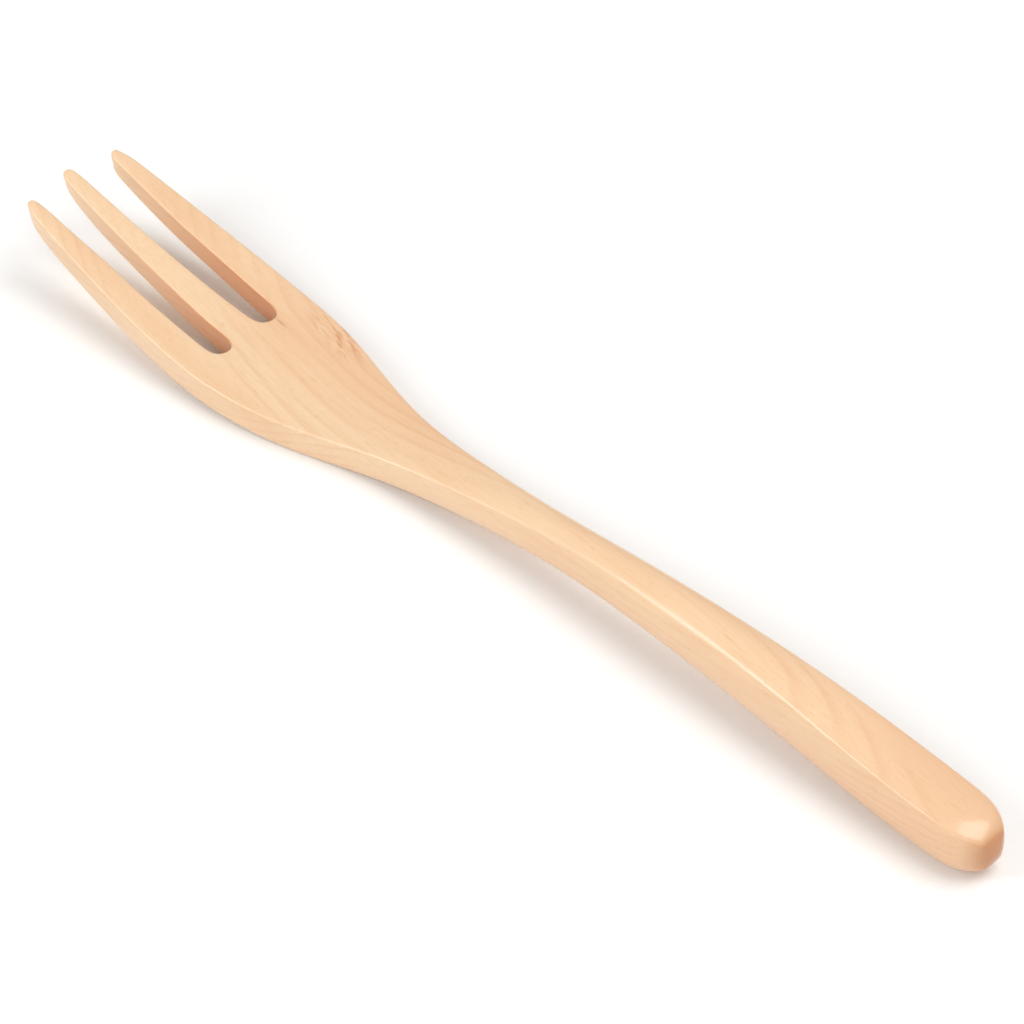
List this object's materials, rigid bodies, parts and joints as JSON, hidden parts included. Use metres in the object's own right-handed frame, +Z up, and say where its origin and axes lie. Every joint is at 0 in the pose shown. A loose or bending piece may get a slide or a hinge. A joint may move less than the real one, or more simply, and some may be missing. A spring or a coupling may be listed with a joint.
{
  "type": "wooden table fork",
  "caption": "Long wooden fork carved in one piece, with an arched rounded handle, slim neck, flat upturned head and tapered tines.",
  "frame": {"origin": "on the table, under the middle of the fork's length and width, at the height of the lowest point of its underside", "axes": "+X from the butt of the handle to the tips of the tines, +Y across the fork, +Z up out of the hollow upper face of the head"},
  "size_m": [0.19, 0.0244, 0.014],
  "materials": {
    "lacquered_wood": "pale fine-grained hardwood, hand sanded, with a clear satin lacquer"
  },
  "bodies": {
    "root": {"fork": "lacquered_wood"}
  },
  "joints": []
}
